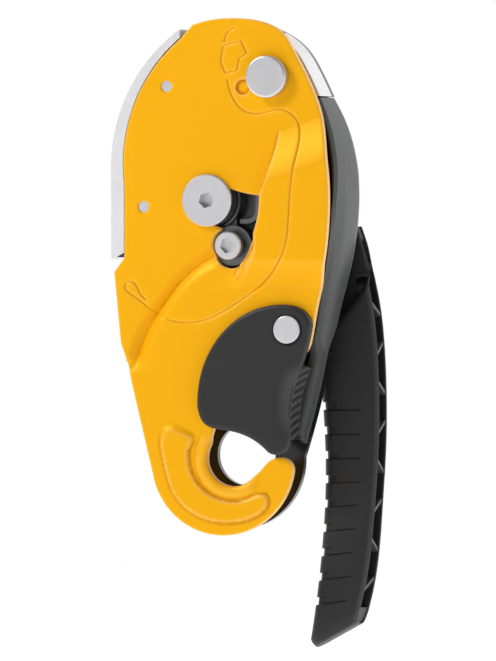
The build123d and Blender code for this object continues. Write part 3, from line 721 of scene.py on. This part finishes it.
def build_grip():
    grip_depth = grip_back - grip_front
    left = smooth([(43.6, -9), (41.4, -21), (37.2, -38), (33.9, -54), (33.6, -66), (34.2, -75),
                   (35.1, -100), (33.8, -124), (31.4, -145), (29.4, -158)])
    right = smooth([(45.6, -8.6), (48.6, -17), (51.6, -27), (53.8, -37), (55.6, -53), (56.2, -66),
                    (56.2, -86), (54.6, -111), (50.6, -140), (47.6, -151)])

    def left_at(z):
        return np.interp(-z, -left[:, 1], left[:, 0])

    def right_at(z):
        return np.interp(-z, -right[:, 1], right[:, 0])

    def slanted(z, y):
        """How far the open side leans in towards its back edge."""
        return (0.9 - 0.7 * float(ease((-100 - z) / 45))) * (y - grip_front) / grip_depth

    def set_back(x, y, z):
        """Near the axle the grip's front steps back, clear of the side guard's deep middle."""
        nearer = 6.2 * float(ease((60.5 - math.hypot(x, z)) / 4.2))
        return grip_front + nearer + (y - grip_front) * (grip_depth - nearer) / grip_depth

    band_pitch, rib_pitch = 8.77, 14.07
    band_tops = -75.3 - band_pitch * np.arange(9)
    levels = set(np.round(np.arange(-9.2, -159.2, -1.1), 3).tolist()) | {-159.6, -160.1, -160.4}
    for top in band_tops:
        levels |= {round(top + off, 3) for off in (3.1, 2.75, 0.5, 0.3, 0.12, -0.12, -0.3)}
    levels = sorted(levels, reverse=True)
    sections, light, dark = [], [], []
    for level in levels:
        tilt = 0.14 * float(ease((-80 - level) / 60)) + 0.4 * float(ease((-146 - level) / 12))
        x_left = float(left_at(level)) + 1.6 * max(0.0, -157.8 - level) ** 1.3 / 3.4
        x_right = x_left + 5
        for _ in range(6):
            x_right = float(right_at(max(level + tilt * (x_right - x_left), -151)))
        open_part = float(ease((-14 - level) / 4) * ease((level + 153.5) / 3))
        round_off = 2.4 * (1 - math.sqrt(max(0.0, 1 - max(0.0, (-157.4 - level) / 3) ** 2)))
        y0 = grip_front + round_off
        y1 = grip_back - round_off
        big = min(4.2, (x_right - x_left) * 0.45)
        small = min(3.0, (x_right - x_left) * 0.3)
        lip = min(1.0, (x_right - x_left) * 0.1)
        outer = [(x_right, y0 + 0.9), (x_right - 0.35, y0 + 0.35), (x_right - lip, y0 + 0.1)]
        for part in np.linspace(0, 1, 14):
            outer.append((x_right - 1.8 * lip - (x_right - 1.8 * lip - x_left - big) * part, y0))
        for angle in np.linspace(8, 90, 11):
            a = math.radians(angle)
            outer.append((x_left + big - big * math.sin(a), y0 + big - big * math.cos(a)))
        for angle in np.linspace(0, 90, 7):
            a = math.radians(angle)
            outer.append((x_left + small - small * math.cos(a), y1 - small + small * math.sin(a)))
        depth = 0.6 + 7.8 * open_part
        open_side = len(outer)
        outer += [(x_left + (x_right - x_left) * 0.6, y1), (x_right - 0.6, y1), (x_right, y1 - 0.5),
                  (x_right, y1 - 1.3), (x_right - 0.3, y1 - 1.6), (x_right - depth, y1 - 1.9),
                  (x_right - depth, y0 + 2.3), (x_right - 0.3, y0 + 2.0)]
        section = []
        for k, (x, y) in enumerate(outer):
            x -= slanted(level, y) * float(ease((x - x_left - 5) / 6))
            reach = x - x_left + max(0.0, y - y0) * 0.2
            sink = 0.0
            for top in band_tops:
                off = level - top
                if 0.2 < off < 3.0 and y < y1 - 2.5:
                    sink = 0.85 * (1 - float(ease((reach - 3.0) / 2.6)))
                if -0.02 <= off <= 0.4 and 2 < reach < 0.68 * (x_right - x_left) and y < y0 + 3:
                    sink = max(sink, 0.4)
            if k < 3 or k >= open_side:
                sink = 0.0
            centre = (x_left + big, y0 + big)
            if sink > 0 and x < centre[0]:
                away = math.hypot(x - centre[0], min(0.0, y - centre[1])) or 1.0
                x += (centre[0] - x) / away * sink
                y += (centre[1] - y) / away * sink if y < centre[1] else 0
            elif sink > 0:
                y += sink
            z = level + tilt * (x - x_left)
            section.append((x, set_back(x, y, z), z))
            # Painted shade: black in the open pocket and darker in the band notches; painted highlight
            # on the right-hand front and back corners.
            pocket = k > len(outer) - 4 and open_part > 0.3
            dark.append(1.0 if pocket else 0.5 * min(1.0, sink * 1.2))
            light.append(0.55 if k in (0, 1, 2) or k == len(outer) - 6 else 0.0)
        sections.append(np.array(section))
    points, faces = loft(sections)

    # Slanted ribs across the open side of the grip.
    half = 0.65                 # half a rib's thickness
    points = points.tolist()
    for k in range(9):
        middle = -24.9 - rib_pitch * k
        lean = 2.1 if k % 2 else -2.1
        edge_x = float(right_at(middle)) - 0.9
        base = len(points)
        for y, z in ((26.0, middle + lean), (35.7, middle - lean)):
            shift = float(right_at(z)) - 0.3 - slanted(z, y) - edge_x
            deep, out = edge_x - 8.3, edge_x + shift
            for x, dz in ((deep, half), (out, half), (out, -half), (deep, -half)):
                points.append([x, set_back(x, y, z), z + dz])
                # Painted highlight on the outer ends of the ribs.
                light.append(0.9 if x > edge_x - 5 else 0.0)
                dark.append(0.0)
        for face in ((0, 1, 2, 3), (7, 6, 5, 4), (0, 4, 5, 1), (1, 5, 6, 2), (2, 6, 7, 3), (3, 7, 4, 0)):
            faces.append([base + f for f in face])
    new_piece("grip_shell", points, faces, "nylon_black", "handle", "handle_grip", sharp=32,
              marks={"edge": light, "painted_shade": dark})


def ease_edges(node, width):
    """Small round on a CAD node's sharp edges; the heads of bolts and rivets get a wider one."""
    mod = nodes[node].modifiers.new("edges", "BEVEL")
    mod.width = width
    mod.segments = 3
    mod.limit_method = "ANGLE"
    mod.angle_limit = math.radians(35)
    mod.harden_normals = True


# ---- Stage, light and camera ----------------------------------------------------------------
camera_azimuth = math.radians(19.0)
camera_distance = 5.0
picture_height = 661            # picture points
points_per_metre = 2790         # at the object
aim = Vector((2.8, -8.0, 44.5)) * MM


def make_camera():
    data = bpy.data.cameras.new("camera")
    data.sensor_width = 36
    data.lens = 36 * camera_distance * points_per_metre / picture_height
    data.clip_start = 0.05
    data.clip_end = 50
    thing = bpy.data.objects.new("camera", data)
    back = Vector((math.sin(camera_azimuth), -math.cos(camera_azimuth), 0))
    thing.location = aim + back * camera_distance
    thing.rotation_mode = "QUATERNION"
    thing.rotation_quaternion = (-back).to_track_quat("-Z", "Y")
    bpy.context.collection.objects.link(thing)
    bpy.context.scene.camera = thing


def make_light(name, place, size, power):
    data = bpy.data.lights.new(name, "AREA")
    data.shape = "DISK"
    data.size = size
    data.energy = power
    thing = bpy.data.objects.new(name, data)
    thing.location = aim + Vector(place)
    thing.rotation_mode = "QUATERNION"
    thing.rotation_quaternion = Vector(place).normalized().to_track_quat("Z", "Y")
    bpy.context.collection.objects.link(thing)


def make_floor():
    mesh = bpy.data.meshes.new("floor")
    low = cad_box[0].z - 0.02
    radius, corners = 3, 48
    turns = [t * math.pi / (corners / 2) for t in range(corners)]
    ring = [(radius * math.cos(turn), radius * math.sin(turn), low) for turn in turns]
    mesh.from_pydata(ring, [], [list(range(corners))])
    floor = bpy.data.objects.new("floor", mesh)
    bpy.context.collection.objects.link(floor)
    mat, tree, bsdf = shader("floor", (0.85, 0.85, 0.85), 0, 0.9)
    bsdf.inputs["Emission Color"].default_value = (1, 1, 1, 1)
    bsdf.inputs["Emission Strength"].default_value = 0.5
    mesh.materials.append(mat)


def make_world():
    """White behind the object, softer light in front of it."""
    world = bpy.data.worlds.new("world")
    bpy.context.scene.world = world
    world.use_nodes = True
    tree = world.node_tree
    back = tree.nodes["Background"]
    back.inputs["Color"].default_value = (1, 1, 1, 1)
    coords = tree.nodes.new("ShaderNodeTexCoord")
    parts = tree.nodes.new("ShaderNodeSeparateXYZ")
    tree.links.new(coords.outputs["Generated"], parts.inputs["Vector"])
    level = tree.nodes.new("ShaderNodeMapRange")
    level.interpolation_type = "SMOOTHSTEP"
    level.inputs["From Min"].default_value = -0.4
    level.inputs["From Max"].default_value = 0.5
    level.inputs["To Min"].default_value = 0.13
    level.inputs["To Max"].default_value = 1.0
    tree.links.new(parts.outputs["Y"], level.inputs["Value"])
    tree.links.new(level.outputs["Result"], back.inputs["Strength"])


make_camera()
make_floor()
make_world()
make_light("key", (-0.95, -0.85, 1.0), 0.45, 15)
make_light("front", (-0.75, -1.5, 0.1), 1.1, 1.2)
make_light("fill", (1.0, -0.5, 0.2), 0.7, 1)
make_light("rim", (0.7, 0.9, 0.7), 0.6, 2)

build_plate()
build_gate()
build_guard()
build_grip()
turned = ("strip_rivets", "gate_pivot_rivet", "plate_pivot_bolt", "main_axle_bolt", "cam_pin_bolt")
head_round, edge_round = 0.38 * MM, 0.15 * MM
for node in nodes:
    ease_edges(node, head_round if node in turned else edge_round)
bpy.context.scene.view_settings.view_transform = "Standard"
